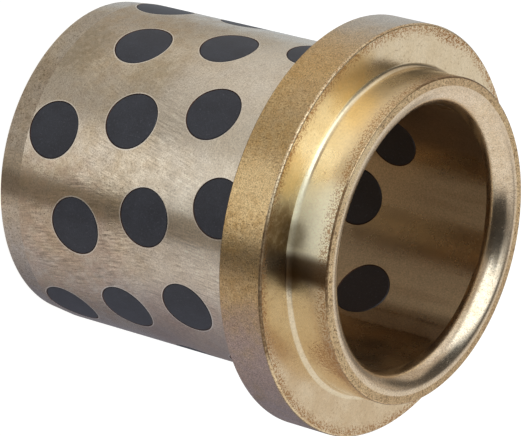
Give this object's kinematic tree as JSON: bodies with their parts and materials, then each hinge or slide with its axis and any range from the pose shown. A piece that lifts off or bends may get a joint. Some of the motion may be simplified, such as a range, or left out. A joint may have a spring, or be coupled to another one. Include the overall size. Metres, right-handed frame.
{
  "type": "graphite plugged flanged bushing",
  "caption": "Flanged guide bushing: a turned bronze sleeve with a collar and a short locating spigot, and graphite plugs set through its wall to keep the bore and outside lubricated.",
  "frame": {"origin": "centre of the plain end, on the bore's axis", "axes": "+Z along the bore from the plain end towards the collar and spigot; +X through the first plug of the ring nearest the plain end"},
  "size_m": [0.05, 0.05, 0.0495],
  "materials": {
    "bronze": "satin",
    "graphite": "matte"
  },
  "bodies": {
    "root": {"bushing_body": "bronze", "graphite_plug_1_1": "graphite", "graphite_plug_1_2": "graphite", "graphite_plug_1_3": "graphite", "graphite_plug_1_4": "graphite", "graphite_plug_1_5": "graphite", "graphite_plug_2_1": "graphite", "graphite_plug_2_2": "graphite", "graphite_plug_2_3": "graphite", "graphite_plug_2_4": "graphite", "graphite_plug_2_5": "graphite", "graphite_plug_3_1": "graphite", "graphite_plug_3_2": "graphite", "graphite_plug_3_3": "graphite", "graphite_plug_3_4": "graphite", "graphite_plug_3_5": "graphite", "graphite_plug_4_1": "graphite", "graphite_plug_4_2": "graphite", "graphite_plug_4_3": "graphite", "graphite_plug_4_4": "graphite", "graphite_plug_4_5": "graphite", "graphite_plug_5_1": "graphite", "graphite_plug_5_2": "graphite", "graphite_plug_5_3": "graphite", "graphite_plug_5_4": "graphite", "graphite_plug_5_5": "graphite", "graphite_plug_6_1": "graphite", "graphite_plug_6_2": "graphite", "graphite_plug_6_3": "graphite", "graphite_plug_6_4": "graphite", "graphite_plug_6_5": "graphite"}
  },
  "joints": []
}
